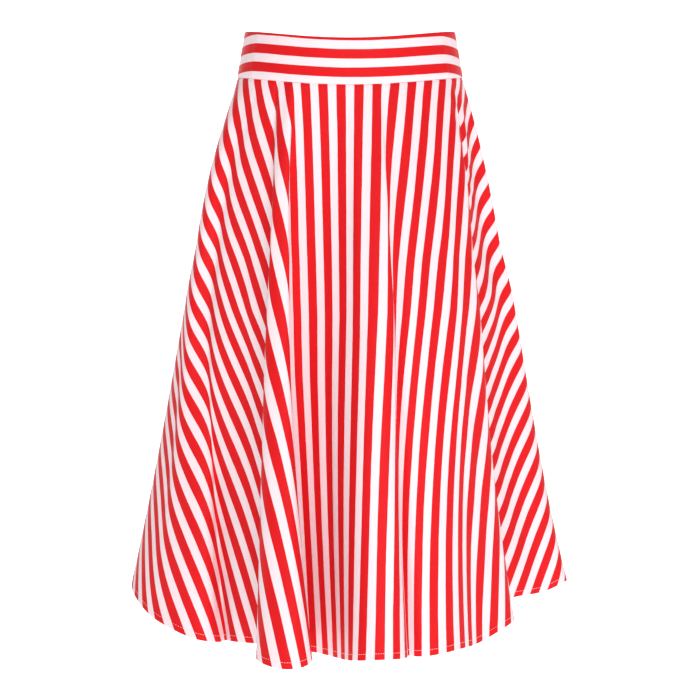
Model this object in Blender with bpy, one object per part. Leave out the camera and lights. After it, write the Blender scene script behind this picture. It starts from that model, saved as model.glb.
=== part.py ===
"""A-line skirt in striped cotton: front, two backs, waistband and a zip at the centre back.

Units are metres with +Z up. The front faces -Y and the wearer's left is +X. The origin is the
centre of the waist seam. All sizes below are millimetres, turned into metres at the end.
"""

import math

import bpy
import numpy as np
from mathutils import Matrix, Vector

MM = 0.001

# The waist seam is an ellipse. The skirt is cut as half a circle, so 180 degrees of flat cloth go
# once round it: angle 0 is the centre front, 45 and -45 are the side seams, 90 is the centre back.
WAIST_HALF_WIDTH = 130.0
WAIST_HALF_DEPTH = 99.0
CLOTH_LENGTH = 628.0
FLAT_WAIST_RADIUS = 230.0
SEAM_ANGLE = 45.0
FULL_TURN = 180.0
MID_SHARE = 0.41
MID_ROUNDING = 0.15
HIP_BULGE = 4.5
HIP_SHARE = 0.32

SKIRT_WALL = 1.2
SEAM_GAP = 0.3

# The seam line is lowest at the centre front and highest at the sides.
SEAM_TOP = 7.2
SEAM_FRONT_DIP = 9.7
SEAM_BACK_DIP = 4.0

BAND_TOP_HALF_WIDTH = 120.5
BAND_TOP_HALF_DEPTH = 92.0
BAND_FRONT_HEIGHT = 51.2
BAND_SIDE_HEIGHT = 52.2
BAND_WALL = 2.4

# The tape lies behind the centre back seam, from near the top of the waistband downwards.
TAPE_BELOW_SEAM = 170.0
TAPE_WIDTH = 24.0
TAPE_WALL = 1.0
TAPE_INSET = 2.0
TAPE_TOP_SHARE = 0.96

# The slider sits on the outside of the waistband. Its own frame has +Y out of the cloth and +Z up
# the slope of the band, and starts on the slider's back face at the pull's hinge.
SLIDER_BELOW_TOP = 7.0
SLIDER_PLATE = {"half_width": 2.5, "bottom": -5.0, "top": 4.2, "out": (0.0, 1.5), "corner": 1.0}
BRIDGE = {"half_width": 0.8, "half_length": 4.0, "out": (1.1, 4.0), "corner": 1.2}
BRIDGE_WINDOW = {"half_length": 3.0, "out": (1.5, 3.2), "corner": 0.35}
CUT_OVERRUN = 1.0
PULL_OUT = (1.85, 2.85)
PULL_TAB = {"half_width": 3.0, "bottom": -21.0, "top": 0.5, "corner": 2.6}
PULL_NECK_HALF_WIDTH = 2.4
PULL_NECK_BOTTOM = -8.0
PULL_HOLE = {"half_width": 1.2, "bottom": -6.5, "top": -0.5, "corner": 0.5}

# One row is one fold line down the skirt. The angles are where it lies on the flat cloth at the
# waist, at the mid level and at the hem. "across" and "forward" place it in plan, and at the hip,
# halfway from the waist to the mid level, they say how far it leaves the straight line. A "bow" is
# the same halfway from the mid level to the hem. "drop" is how much lower the hem hangs there.
FRONT_FOLD_COLUMNS = (
    "name", "top_angle", "mid_angle", "hem_angle", "angle_bow", "hip_across", "hip_forward",
    "mid_across", "mid_forward", "hem_across", "hem_forward", "across_bow", "drop",
)
FRONT_FOLDS = (
    ("right side seam", -45.0, -45.0, -45.0, 0.0, 2.5, 0, -184, -50, -256, -100, 0, 0),
    ("outer edge", -41.0, -40.5, -40.9, -0.5, 0, 0, -194, -15, -270, -36, 3, 6),
    ("side lobe back", -37.0, -37.8, -37.6, -0.5, -3, 2, -193, 8, -255, 12, 10, 14),
    ("side lobe", -34.0, -35.6, -34.8, -0.7, -3, 3, -183, 22, -226, 45, 3, 24),
    ("side lobe front", -31.0, -34.0, -30.8, 0.0, 0, 2, -169, 23, -162, 71, 3, 32),
    ("crease", -28.0, -33.0, -29.0, -0.7, 0, 0, -163, 34, -149, 52, -5, 33),
    ("recess", -24.0, -28.8, -27.5, -0.5, 1, 1, -136, 59, -140, 72, 2, 26),
    ("recess end", -22.0, -22.5, -25.5, -0.5, 0, 0, -95, 92, -115, 92, 7, 20),
    ("under the roll", -20.8, -20.5, -21.8, -0.5, 0, 0, -85, 104, -86, 140, 0, 9),
    ("roll side", -20.3, -18.7, -19.2, 0.0, 0, 0, -87, 122, -90, 185, 0, 7),
    ("roll edge", -19.6, -17.0, -16.8, 0.0, 0, 0, -92, 137, -100, 230, 0, 5),
    ("roll", -17.5, -15.8, -14.2, 0.0, 0, 0, -83, 145, -66, 263, -1, 12),
    ("roll turn", -16.0, -14.1, -11.74, 0.0, 0, 0, -69, 145, -41, 244, -3, 8),
    ("behind the roll", -15.5, -12.3, -9.4, 0.0, 0, 0, -73, 131, -51, 205, -3, 0),
    ("centre valley", -15.0, -11.03, -7.24, 0.0, 0, 0, -76, 120, -63, 173, -4, 0),
    ("centre valley end", -14.0, -9.55, -5.09, 0.0, 0, 0, -71, 117, -45, 160, -4, 3),
    ("centre flank low", -7.0, -4.92, -3.38, 0.0, 0, 0, -35, 128, -27, 178, -4, 2),
    ("centre flank", -1.5, -1.18, -0.69, 0.0, 0, 0, -7.6, 149, -7.2, 214, -3, 0),
    ("centre flank high", 1.2, 1.18, 2.03, 0.0, 0, 0, 7.7, 163, 12.6, 248, -1, -3),
    ("centre roll", 4.5, 3.58, 3.38, 0.0, 0, 0, 26, 173, 32, 256, -2, -4),
    ("pleat edge", 8.0, 6.2, 6.26, 0.0, 0, 0, 47, 170, 61, 232, -3, -2),
    ("pleat behind", 8.6, 8.37, 7.44, 0.0, 0, 0, 49, 161, 63, 219, -4, -2),
    ("wide roll", 12.0, 10.83, 8.81, 0.0, 0, 0, 63, 164, 74, 228, -4, -2),
    ("wide roll slope", 17.0, 15.7, 11.55, 0.0, 0, 0, 98, 151, 110, 214, -3, -1),
    ("wide roll flank", 21.0, 18.2, 12.9, 0.0, 0, 0, 118, 141, 124, 196, -4, 1),
    ("wide roll low", 27.0, 20.8, 15.8, 0.0, 0, 0, 134, 125, 146, 162, -4, 4),
    ("wide roll edge", 32.0, 22.0, 19.2, 0.0, 0, 0, 143, 115, 186, 123, -5, -4),
    ("under the wide roll", 33.5, 25.6, 23.5, 0.0, 0, 0, 133, 92, 152, 83, -5, 0),
    ("side valley", 34.5, 30.4, 30.2, 0.4, 0, -1, 111, 62, 110, 41, -6, 0),
    ("side valley end", 36.0, 33.7, 33.4, 0.9, 0, 1, 131, 42, 160, 10, -4, 6),
    ("left lobe", 37.5, 35.4, 36.5, 0.9, 0, 0, 144, 35, 204, 2, -5, 0),
    ("left lobe slope", 40.0, 39.5, 39.4, 0.2, -7, -2, 168, 10, 242, -20, -12, 6),
    ("left lobe edge", 42.4, 42.3, 41.4, 0.4, -4, 0, 182, -8, 266, -31, -4, 2),
    ("left lobe turn", 43.4, 43.9, 43.2, 0.2, -3, 1, 194, -14, 268, -56, -3, 6),
    ("left side seam", 45.0, 45.0, 45.0, 0.0, -1, -1, 186, -19, 260, -80, 1, 0),
)

# The back hangs in folds that turn in and out of a plain curve between the side seams. "rise" is
# how far a turn stands out from that curve, and "bulge" rounds the turns off sideways.
BACK_FOLD_COLUMNS = ("name", "angle", "mid_rise", "hem_rise")
BACK_FOLDS = (
    ("left edge", 46.5, -1, 4),
    ("left back valley", 55.5, -24, -50),
    ("left back roll", 66.0, 31, 62),
    ("left inner valley", 77.5, -22, -54),
    ("centre back roll", 90.0, 12, 48),
    ("right inner valley", 103.0, -24, -57),
    ("right back roll", 115.0, 33, 64),
    ("right back valley", 126.0, -24, -48),
    ("right edge", 137.0, 4, 8),
)
BACK_DEPTH = {"mid": 122.0, "hem": 150.0}
BACK_BULGE = {"mid": 6.0, "hem": 15.0}
BACK_FIRST_ANGLE = 49.0
BACK_LAST_ANGLE = 131.5
BACK_LINES = 26

# The steepest that the cloth may lean out of the upright, as a share of its length that falls.
LEAST_FALL = 0.2


def ellipse(angles, half_width, half_depth):
    """Plan points (across, forward) of an ellipse at flat angles, spaced by length along it."""
    turn = np.linspace(0.0, math.tau, 1441)
    outline = np.stack([half_width * np.sin(turn), half_depth * np.cos(turn)], axis=1)
    run = np.append(0.0, np.cumsum(np.hypot(*np.diff(outline, axis=0).T)))
    at = np.interp(np.mod(angles, FULL_TURN) / FULL_TURN * run[-1], run, turn)
    return np.stack([half_width * np.sin(at), half_depth * np.cos(at)], axis=1)


def back_fold_lines(level, left_seam, right_seam):
    """Plan points down the back at one level, from the left side seam round to the right."""
    angles = np.linspace(BACK_FIRST_ANGLE, BACK_LAST_ANGLE, BACK_LINES)
    turns = np.array([row[BACK_FOLD_COLUMNS.index("angle")] for row in BACK_FOLDS])
    rises = np.array([row[BACK_FOLD_COLUMNS.index(level + "_rise")] for row in BACK_FOLDS])
    before = np.searchsorted(turns, angles, side="right") - 1
    part = (angles - turns[before]) / (turns[before + 1] - turns[before])
    ease = (1.0 - np.cos(np.pi * part)) / 2.0
    rise = rises[before] * (1.0 - ease) + rises[before + 1] * ease
    bulge = BACK_BULGE[level] * np.sin(2.0 * np.pi * part)

    way = (angles - SEAM_ANGLE) / (FULL_TURN - 2.0 * SEAM_ANGLE) * np.pi
    share = (1.0 - np.cos(way)) / 2.0
    across = left_seam[0] * (1.0 - share) + right_seam[0] * share
    forward = left_seam[1] * (1.0 - share) + right_seam[1] * share - BACK_DEPTH[level] * np.sin(way)
    across = across + rise * np.cos(way) - bulge * np.sin(way)
    forward = forward - rise * np.sin(way) - bulge * np.cos(way)
    return angles, np.stack([across, forward], axis=1)


def fold_lines():
    """Every fold line round the skirt: angles and plan points at three levels, bows and drop."""
    column = {name: np.array([row[i] for row in FRONT_FOLDS])
              for i, name in enumerate(FRONT_FOLD_COLUMNS)}
    top = column["top_angle"]
    mid = np.stack([column["mid_across"], column["mid_forward"]], axis=1)
    hem = np.stack([column["hem_across"], column["hem_forward"]], axis=1)
    back_angles, back_mid = back_fold_lines("mid", mid[-1], mid[0])
    back_hem = back_fold_lines("hem", hem[-1], hem[0])[1]
    angles = np.stack([
        np.append(column[level + "_angle"], back_angles) for level in ("top", "mid", "hem")
    ])
    waist = ellipse(np.append(top, back_angles), WAIST_HALF_WIDTH, WAIST_HALF_DEPTH)
    plan = (waist, np.vstack([mid, back_mid]), np.vstack([hem, back_hem]))
    straight = np.zeros(len(back_angles))
    bows = {
        name: np.append(column[name], straight)
        for name in ("angle_bow", "across_bow", "hip_across", "hip_forward", "drop")
    }
    return angles, plan, bows


def closed_curve(knots, values, angles):
    """Values of a smooth closed curve through the knots (a periodic cubic spline)."""
    count = len(knots)
    gaps = np.diff(np.append(knots, knots[0] + FULL_TURN))
    slopes = (np.roll(values, -1, axis=0) - values) / gaps[:, None]
    matrix = np.zeros((count, count))
    for i in range(count):
        matrix[i, i - 1] += gaps[i - 1]
        matrix[i, i] += 2.0 * (gaps[i - 1] + gaps[i])
        matrix[i, (i + 1) % count] += gaps[i]
    bends = np.linalg.solve(matrix, 6.0 * (slopes - np.roll(slopes, 1, axis=0)))

    turned = np.mod(angles - knots[0], FULL_TURN) + knots[0]
    left = np.clip(np.searchsorted(knots, turned, side="right") - 1, 0, count - 1)
    right = (left + 1) % count
    gap = gaps[left][:, None]
    b = (turned - knots[left])[:, None] / gap
    a = 1.0 - b
    curve = a * values[left] + b * values[right]
    return curve + gap ** 2 / 6.0 * ((a ** 3 - a) * bends[left] + (b ** 3 - b) * bends[right])


def seam_height(angles):
    """Height of the waist seam at each flat angle."""
    facing = np.cos(np.radians(2.0 * angles))
    dip = np.where(facing > 0.0, SEAM_FRONT_DIP, SEAM_BACK_DIP)
    return SEAM_TOP - dip * facing ** 2


def level_mix(share):
    """How much of the waist, the mid level and the hem make up a ring this far down.

    Fold lines run straight from level to level, with the corner at the mid level rounded off.
    """
    past = np.clip((share - MID_SHARE + MID_ROUNDING) / (2.0 * MID_ROUNDING), 0.0, 1.0)
    past = MID_ROUNDING * past ** 2 + max(share - MID_SHARE - MID_ROUNDING, 0.0)
    before = (share - past) / MID_SHARE
    after = past / (1.0 - MID_SHARE)
    return 1.0 - before, before - after, after


def ring_lines(share, lines):
    """Flat angles and plan points of all fold lines this far down the skirt."""
    line_angles, levels, bows = lines
    mix = level_mix(share)
    bow = math.sin(math.pi * max(share - MID_SHARE, 0.0) / (1.0 - MID_SHARE))
    knots = sum(part * row for part, row in zip(mix, line_angles)) + bow * bows["angle_bow"]
    places = sum(part * level for part, level in zip(mix, levels))
    bulge = HIP_BULGE * math.sin(math.pi * min(share / HIP_SHARE, 1.0)) / WAIST_HALF_WIDTH
    hip = math.sin(math.pi * min(share / MID_SHARE, 1.0))
    across = places[:, 0] + bow * bows["across_bow"] + hip * bows["hip_across"]
    forward = places[:, 1] + hip * bows["hip_forward"]
    return knots, np.stack([across + bulge * levels[0][:, 0], forward], axis=1)


def skirt_points(shares, angles):
    """The middle of the cloth: a row per share of its length down, a column per flat angle."""
    lines = fold_lines()
    plan = []
    for share in shares:
        knots, places = ring_lines(share, lines)
        plan.append(closed_curve(knots, places, angles))
    plan = np.array(plan)
    step = np.diff(shares)[:, None] * CLOTH_LENGTH
    slant = np.hypot(*np.moveaxis(np.diff(plan, axis=0), 2, 0))
    fall = np.sqrt(np.maximum(step ** 2 - slant ** 2, (LEAST_FALL * step) ** 2))
    height = seam_height(angles) - np.vstack([np.zeros(len(angles)), np.cumsum(fall, axis=0)])
    sag = closed_curve(lines[0][2], lines[2]["drop"][:, None], angles)[:, 0]
    height = height - sag * np.asarray(shares)[:, None] ** 2
    return np.dstack([plan[..., 0], -plan[..., 1], height])


def band_points(shares, angles):
    """The middle of the waistband: rows from its lower edge up to its fold, columns by angle."""
    low = ellipse(angles, WAIST_HALF_WIDTH, WAIST_HALF_DEPTH)
    high = ellipse(angles, BAND_TOP_HALF_WIDTH, BAND_TOP_HALF_DEPTH)
    facing = np.maximum(np.cos(np.radians(2.0 * angles)), 0.0)
    rise = BAND_SIDE_HEIGHT - (BAND_SIDE_HEIGHT - BAND_FRONT_HEIGHT) * facing ** 2
    rows = []
    for share in shares:
        plan = low * (1.0 - share) + high * share
        rows.append(np.stack([plan[:, 0], -plan[:, 1], seam_height(angles) + rise * share], axis=1))
    return np.array(rows)


# How finely the cloth is worked out, and how finely its solids are divided.
FINE_ROWS = 60
ANGLE_STEP = 0.25
PANEL_ROWS = 17
FRONT_COLUMNS_PER_FOLD = 2
BACK_COLUMNS = 28
BAND_FRONT_COLUMNS = 31
BAND_BACK_COLUMNS = 17
TAPE_COLUMNS = 5
TAPE_SKIRT_ROWS = 7

PANEL_COLOUR = (0.85, 0.35, 0.36)
BAND_COLOUR = (0.85, 0.4, 0.4)
TAPE_COLOUR = (0.85, 0.83, 0.83)
METAL_COLOUR = (0.75, 0.75, 0.76)
CLOTH_ROUGHNESS = 0.8
METAL_ROUGHNESS = 0.3


def outward(points):
    """Unit vectors out of a grid of cloth whose columns go all the way round."""
    around = np.roll(points, -1, axis=1) - np.roll(points, 1, axis=1)
    out = np.cross(np.gradient(points, axis=0), around)
    return out / np.linalg.norm(out, axis=2, keepdims=True)


def fine_angles():
    """The flat angles of a fine grid's columns."""
    return ANGLE_STEP * np.arange(round(FULL_TURN / ANGLE_STEP)) - SEAM_ANGLE


def sampled(grid, share, angles):
    """Values of a fine grid at one share of its length down and at any flat angles."""
    row = share * (len(grid) - 1)
    above = min(int(row), len(grid) - 2)
    line = grid[above] * (above + 1 - row) + grid[above + 1] * (row - above)
    column = (angles + SEAM_ANGLE) / ANGLE_STEP
    left = np.floor(column).astype(int)
    part = (column - left)[:, None]
    return line[left % len(line)] * (1.0 - part) + line[(left + 1) % len(line)] * part


def angle_for_length(length, share):
    """The flat angle that a length of cloth takes up this far down the skirt."""
    return math.degrees(length / (FLAT_WAIST_RADIUS + share * CLOTH_LENGTH))


def front_columns(share):
    """Flat angles of the front panel's columns, which follow its fold lines."""
    count = len(FRONT_FOLDS)
    knots = ring_lines(share, fold_lines())[0][:count]
    steps = np.arange((count - 1) * FRONT_COLUMNS_PER_FOLD + 1) / FRONT_COLUMNS_PER_FOLD
    return np.interp(steps, np.arange(count), knots)


def left_back_columns(share):
    """Flat angles of the left back's columns, the same at every share."""
    return np.linspace(SEAM_ANGLE, FULL_TURN / 2.0, BACK_COLUMNS)


def right_back_columns(share):
    """Flat angles of the right back's columns, the same at every share."""
    return np.linspace(FULL_TURN / 2.0, FULL_TURN - SEAM_ANGLE, BACK_COLUMNS)


def clear_of_seams(angles, share):
    """The same angles with both end columns drawn in by half a seam gap."""
    gap = angle_for_length(SEAM_GAP / 2.0, share)
    return np.concatenate([[angles[0] + gap], angles[1:-1], [angles[-1] - gap]])


def panel_rows(fine, columns_at):
    """Middle points and outward vectors of a skirt panel, row by row from the waist seam."""
    first = SEAM_GAP / 2.0 / CLOTH_LENGTH
    rows = []
    for share in np.linspace(first, 1.0, PANEL_ROWS):
        angles = clear_of_seams(columns_at(share), share)
        rows.append([sampled(part, share, angles) for part in fine])
    return np.moveaxis(np.array(rows), 1, 0)


def band_rows(fine, start, end, count):
    """The same for a piece of the waistband. Its fine grid starts at the top fold."""
    last = 1.0 - SEAM_GAP / 2.0 / BAND_FRONT_HEIGHT
    angles = clear_of_seams(np.linspace(start, end, count), 0.0)
    rows = [[sampled(part, share, angles) for part in fine] for share in (0.0, last)]
    return np.moveaxis(np.array(rows), 1, 0)


def tape_rows(fine_band, fine_skirt):
    """The same for the zip tape, down the band and then the skirt, set in from their middle."""
    offsets = np.linspace(-TAPE_WIDTH / 2.0, TAPE_WIDTH / 2.0, TAPE_COLUMNS)
    rows = []
    places = [(fine_band, 1.0 - share, 0.0) for share in (TAPE_TOP_SHARE, TAPE_TOP_SHARE / 2.0)]
    for share in np.linspace(0.0, TAPE_BELOW_SEAM / CLOTH_LENGTH, TAPE_SKIRT_ROWS):
        places.append((fine_skirt, share, share))
    for fine, share, share_of_skirt in places:
        degrees = np.array([angle_for_length(offset, share_of_skirt) for offset in offsets])
        rows.append([sampled(part, share, FULL_TURN / 2.0 + degrees) for part in fine])
    points, out = np.moveaxis(np.array(rows), 1, 0)
    return points - out * TAPE_INSET, out


def wall_faces(points):
    """Triangles of a wall's two faces and its rim. Both faces are split along the same diagonals."""
    rows, columns = points.shape[:2]

    def outer(row, column):
        return row * columns + column

    def inner(row, column):
        return rows * columns + outer(row, column)

    faces = []
    for row in range(rows - 1):
        for column in range(columns - 1):
            corners = [(row, column), (row + 1, column), (row + 1, column + 1), (row, column + 1)]
            falling = np.linalg.norm(points[corners[0]] - points[corners[2]])
            rising = np.linalg.norm(points[corners[1]] - points[corners[3]])
            first = 0 if falling <= rising else 1
            turned = corners[first:] + corners[:first]
            for triangle in ((turned[0], turned[1], turned[2]), (turned[0], turned[2], turned[3])):
                faces.append([outer(*corner) for corner in triangle])
                faces.append([inner(*corner) for corner in reversed(triangle)])

    rim = [(row, 0) for row in range(rows)]
    rim += [(rows - 1, column) for column in range(1, columns)]
    rim += [(row, columns - 1) for row in range(rows - 2, -1, -1)]
    rim += [(0, column) for column in range(columns - 2, 0, -1)]
    for here, there in zip(rim, rim[1:] + rim[:1]):
        faces.append([outer(*there), outer(*here), inner(*here), inner(*there)])
    return faces


def mesh_object(name, points, faces, collection):
    """An object with this mesh, from points in millimetres."""
    mesh = bpy.data.meshes.new(name)
    mesh.from_pydata((np.asarray(points, dtype=float) * MM).tolist(), [], faces)
    mesh.update()
    made = bpy.data.objects.new(name, mesh)
    collection.objects.link(made)
    return made


def wall(name, rows, thickness, collection):
    """A cloth wall of even thickness round its middle points."""
    points, out = rows
    faces = wall_faces(points)
    half = out * thickness / 2.0
    both = np.concatenate([(points + half).reshape(-1, 3), (points - half).reshape(-1, 3)])
    return mesh_object(name, both, faces, collection)


def rounded_rectangle(left, right, low, high, corner, steps=4):
    """Outline points of a rectangle with rounded corners, anticlockwise."""
    centres = (
        (right - corner, low + corner, -90.0),
        (right - corner, high - corner, 0.0),
        (left + corner, high - corner, 90.0),
        (left + corner, low + corner, 180.0),
    )
    outline = []
    for across, up, start in centres:
        for step in range(steps + 1):
            turn = math.radians(start + 90.0 * step / steps)
            outline.append((across + corner * math.cos(turn), up + corner * math.sin(turn)))
    return outline


def slab(name, outline, low, high, thickness_axis, collection):
    """A flat piece: an outline with a thickness along X or Y, the outline in the other two."""
    count = len(outline)
    points = []
    for level in (low, high):
        for first, second in outline:
            point = [level, first, second] if thickness_axis == "X" else [first, level, second]
            points.append(point)
    sides = [[i, (i + 1) % count, count + (i + 1) % count, count + i] for i in range(count)]
    caps = [list(range(count - 1, -1, -1)), list(range(count, 2 * count))]
    faces = sides + caps
    if thickness_axis == "Y":
        faces = [face[::-1] for face in faces]
    return mesh_object(name, points, faces, collection)


def combine(target, other, operation):
    """Adds or takes away another object with an exact Boolean."""
    modifier = target.modifiers.new(operation.title(), "BOOLEAN")
    modifier.operation = operation
    modifier.solver = "EXACT"
    modifier.object = other


def slider_place():
    """Where the slider's own frame lies: on the band's slope at the centre back."""
    back = np.array([FULL_TURN / 2.0])
    low, high = band_points((0.0, 1.0), back)[:, 0]
    up = Vector(high - low).normalized()
    right = Vector((1.0, 0.0, 0.0))
    out = up.cross(right)
    start = Vector(high) - up * SLIDER_BELOW_TOP + out * (BAND_WALL / 2.0 + SEAM_GAP)
    turned = Matrix((right, out, up)).transposed().to_4x4()
    return Matrix.Translation(start * MM) @ turned


def build_slider(collection, cutters):
    """The slider: a rounded plate with a bridge across it that holds the pull."""
    plate = rounded_rectangle(
        -SLIDER_PLATE["half_width"], SLIDER_PLATE["half_width"],
        SLIDER_PLATE["bottom"], SLIDER_PLATE["top"], SLIDER_PLATE["corner"],
    )
    slider = slab("zip_slider", plate, *SLIDER_PLATE["out"], "Y", collection)
    half = BRIDGE["half_length"]
    arch = rounded_rectangle(*BRIDGE["out"], -half, half, BRIDGE["corner"])
    bridge = slab("bridge_add", arch, -BRIDGE["half_width"], BRIDGE["half_width"], "X", cutters)
    half = BRIDGE_WINDOW["half_length"]
    opening = rounded_rectangle(*BRIDGE_WINDOW["out"], -half, half, BRIDGE_WINDOW["corner"])
    reach = BRIDGE["half_width"] + CUT_OVERRUN
    window = slab("bridge_window_cut", opening, -reach, reach, "X", cutters)
    combine(slider, bridge, "UNION")
    combine(slider, window, "DIFFERENCE")
    return [slider, bridge, window]


def build_pull(collection, cutters):
    """The pull: a flat tab with a neck and a hole that the bridge passes through."""
    tab = rounded_rectangle(
        -PULL_TAB["half_width"], PULL_TAB["half_width"],
        PULL_TAB["bottom"], PULL_NECK_BOTTOM, PULL_TAB["corner"],
    )
    neck = rounded_rectangle(
        -PULL_NECK_HALF_WIDTH, PULL_NECK_HALF_WIDTH,
        PULL_NECK_BOTTOM - PULL_TAB["corner"], PULL_TAB["top"], PULL_HOLE["corner"],
    )
    hole = rounded_rectangle(
        -PULL_HOLE["half_width"], PULL_HOLE["half_width"],
        PULL_HOLE["bottom"], PULL_HOLE["top"], PULL_HOLE["corner"],
    )
    pull = slab("zip_pull", tab, *PULL_OUT, "Y", collection)
    top = slab("pull_neck_add", neck, *PULL_OUT, "Y", cutters)
    low, high = PULL_OUT
    cut = slab("pull_hole_cut", hole, low - CUT_OVERRUN, high + CUT_OVERRUN, "Y", cutters)
    combine(pull, top, "UNION")
    combine(pull, cut, "DIFFERENCE")
    return [pull, top, cut]


def material(name, colour, roughness, metallic=0.0):
    """A plain material."""
    made = bpy.data.materials.new(name)
    made.use_nodes = True
    shader = made.node_tree.nodes["Principled BSDF"]
    shader.inputs["Base Color"].default_value = (*colour, 1.0)
    shader.inputs["Roughness"].default_value = roughness
    shader.inputs["Metallic"].default_value = metallic
    return made


def clear_scene():
    """Takes away the startup objects."""
    for found in list(bpy.data.objects):
        bpy.data.objects.remove(found, do_unlink=True)


def build():
    """The whole skirt, each sewn piece an object of its own."""
    clear_scene()
    scene = bpy.context.scene
    skirt = bpy.data.collections.new("a_line_skirt")
    cutters = bpy.data.collections.new("cutters")
    scene.collection.children.link(skirt)
    scene.collection.children.link(cutters)
    cutters.hide_render = True

    angles = fine_angles()
    shares = np.linspace(0.0, 1.0, FINE_ROWS + 1)
    skirt_grid = skirt_points(shares, angles)
    fine_skirt = (skirt_grid, outward(skirt_grid))
    band_grid = band_points((1.0, 0.0), angles)
    fine_band = (band_grid, outward(band_grid))

    half_turn = FULL_TURN / 2.0
    panels = {
        "skirt_front": front_columns,
        "skirt_back_left": left_back_columns,
        "skirt_back_right": right_back_columns,
    }
    bands = {
        "waistband_front": (-SEAM_ANGLE, SEAM_ANGLE, BAND_FRONT_COLUMNS),
        "waistband_back_left": (SEAM_ANGLE, half_turn, BAND_BACK_COLUMNS),
        "waistband_back_right": (half_turn, FULL_TURN - SEAM_ANGLE, BAND_BACK_COLUMNS),
    }
    for name, columns_at in panels.items():
        made = wall(name, panel_rows(fine_skirt, columns_at), SKIRT_WALL, skirt)
        made.data.materials.append(material(name, PANEL_COLOUR, CLOTH_ROUGHNESS))
    for name, span in bands.items():
        made = wall(name, band_rows(fine_band, *span), BAND_WALL, skirt)
        made.data.materials.append(material(name, BAND_COLOUR, CLOTH_ROUGHNESS))
    tape = wall("zip_tape", tape_rows(fine_band, fine_skirt), TAPE_WALL, skirt)
    tape.data.materials.append(material("zip_tape", TAPE_COLOUR, CLOTH_ROUGHNESS))

    place = slider_place()
    for made in build_slider(skirt, cutters) + build_pull(skirt, cutters):
        made.matrix_world = place
    for made in cutters.objects:
        made.hide_render = True
        made.display_type = "WIRE"
    for name in ("zip_slider", "zip_pull"):
        found = skirt.objects[name]
        found.data.materials.append(material(name, METAL_COLOUR, METAL_ROUGHNESS, 1.0))


build()
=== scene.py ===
"""A-line skirt in red and white striped cotton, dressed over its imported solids.

+Z is up, the front faces -Y and the wearer's left is +X. The origin is the centre of the waist
seam. The cloth's sizes are millimetres, turned into metres as each mesh is made.
"""

import math

import bpy
import numpy as np
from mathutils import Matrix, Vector


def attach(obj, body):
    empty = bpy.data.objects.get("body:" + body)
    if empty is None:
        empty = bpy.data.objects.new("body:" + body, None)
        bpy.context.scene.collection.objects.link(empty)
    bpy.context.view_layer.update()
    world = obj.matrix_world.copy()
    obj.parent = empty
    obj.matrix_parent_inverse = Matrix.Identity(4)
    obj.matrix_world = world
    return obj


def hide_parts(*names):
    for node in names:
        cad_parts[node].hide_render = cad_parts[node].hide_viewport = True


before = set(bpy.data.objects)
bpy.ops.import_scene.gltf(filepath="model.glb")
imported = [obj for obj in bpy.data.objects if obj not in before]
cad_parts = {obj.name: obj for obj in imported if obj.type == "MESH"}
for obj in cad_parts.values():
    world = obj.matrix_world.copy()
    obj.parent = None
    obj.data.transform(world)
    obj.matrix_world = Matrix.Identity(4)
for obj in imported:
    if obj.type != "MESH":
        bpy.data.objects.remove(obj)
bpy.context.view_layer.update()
MM = 0.001


# ---- Skirt front and backs ----
# Thin cotton sateen with woven red and white stripes, cut as half a circle: one front and two
# backs, sewn at the sides and the centre back. They hang from the waist seam in deep soft folds,
# and their lower edge is turned up in a narrow hem.

# The waist seam is an ellipse. The skirt is cut as half a circle, so 180 degrees of flat cloth go
# once round it: angle 0 is the centre front, 45 and -45 are the side seams, 90 is the centre back.
WAIST_HALF_WIDTH = 130.0
WAIST_HALF_DEPTH = 99.0
CLOTH_LENGTH = 628.0
FLAT_WAIST_RADIUS = 230.0
SEAM_ANGLE = 45.0
FULL_TURN = 180.0
MID_SHARE = 0.41
MID_ROUNDING = 0.15
HIP_BULGE = 4.5
HIP_SHARE = 0.32

# The seam line is lowest at the centre front and highest at the sides.
SEAM_TOP = 7.2
SEAM_FRONT_DIP = 9.7
SEAM_BACK_DIP = 4.0


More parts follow.
